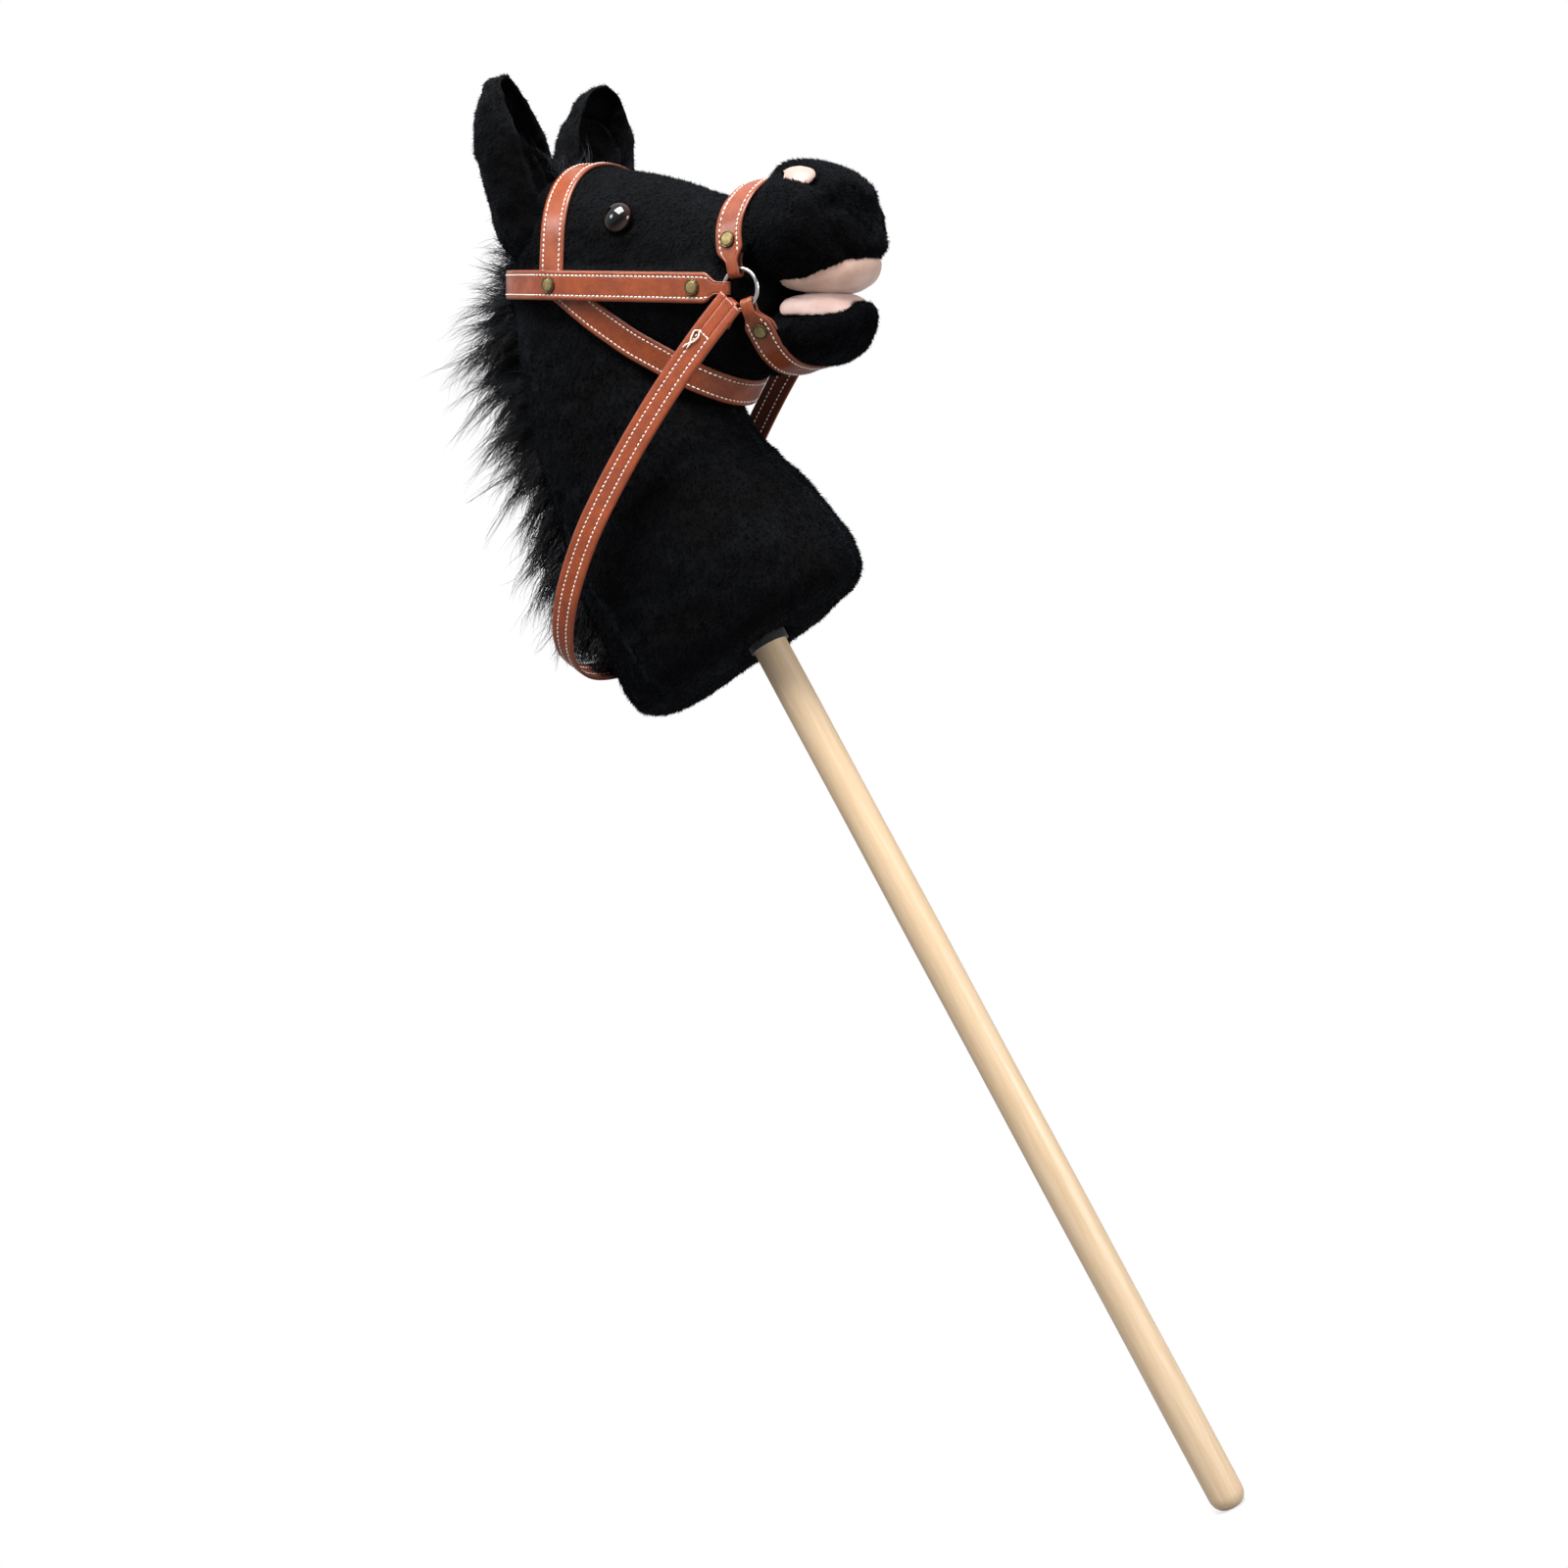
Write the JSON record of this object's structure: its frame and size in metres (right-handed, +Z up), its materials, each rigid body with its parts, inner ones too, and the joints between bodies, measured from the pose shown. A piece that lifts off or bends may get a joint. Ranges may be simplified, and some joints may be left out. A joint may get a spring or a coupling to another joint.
{
  "type": "toy stick horse",
  "caption": "Black plush stick-horse head on a round wooden stick, with a riveted tan leather bridle, bridle rings and a swinging rein.",
  "frame": {"origin": "centre of the small flat at the stick's domed foot", "axes": "+Z up along the stick, +X the way the horse looks, +Y the horse's left side"},
  "size_m": [0.3253, 0.1486, 0.969],
  "materials": {
    "plush": "short black pile with a faint cool sheen",
    "hair": "long feathery black pile",
    "satin": "smooth peach satin",
    "leather": "tan leather with pale stitching",
    "nickel": "polished nickel-plated wire",
    "brass": "antique brass",
    "eye": "glossy dark dome",
    "plastic": "plain white moulding",
    "birch": "pale wood, lightly varnished",
    "cotton": "plain cotton"
  },
  "bodies": {
    "horse": {"stick": "birch", "stick_sleeve": "cotton", "stick_cap": "plastic", "neck": "plush", "neck_base_panel": "plush", "head": "plush", "upper_muzzle": "plush", "lower_jaw": "plush", "palate_lining": "satin", "tongue_lining": "satin", "ear_right": "plush", "ear_lining_right": "plush", "ear_left": "plush", "ear_lining_left": "plush", "throat_strap": "leather", "brow_strap": "leather", "crown_strap": "leather", "nose_strap": "leather", "chin_strap": "leather", "eye_right": "eye", "eye_washer_right": "plastic", "eye_left": "eye", "eye_washer_left": "plastic", "cheek_rivet_right": "brass", "cheek_rivet_left": "brass", "nose_rivet_right": "brass", "nose_rivet_left": "brass", "chin_rivet_right": "brass", "chin_rivet_left": "brass", "brow_rivet_right": "brass", "brow_rivet_left": "brass", "nostril_lining_right": "satin", "nostril_lining_left": "satin", "mane": "hair", "forelock": "hair", "rein_loop_right": "leather", "rein_loop_left": "leather"},
    "rein": {"rein": "leather"},
    "ring_right": {"ring_right": "nickel"},
    "ring_left": {"ring_left": "nickel"}
  },
  "joints": [
    {"name": "rein_swing", "type": "hinge", "parent": "horse", "child": "rein", "pos_m": [0.11742, 0, 0.75452], "axis": [0, 1, 0], "range_deg": [0, 130]},
    {"name": "ring_right_spin", "type": "hinge", "parent": "horse", "child": "ring_right", "pos_m": [0.1281, -0.04971, 0.7593], "axis": [0, 1, 0], "continuous": true},
    {"name": "ring_left_spin", "type": "hinge", "parent": "horse", "child": "ring_left", "pos_m": [0.1281, 0.04971, 0.7593], "axis": [0, 1, 0], "continuous": true}
  ]
}
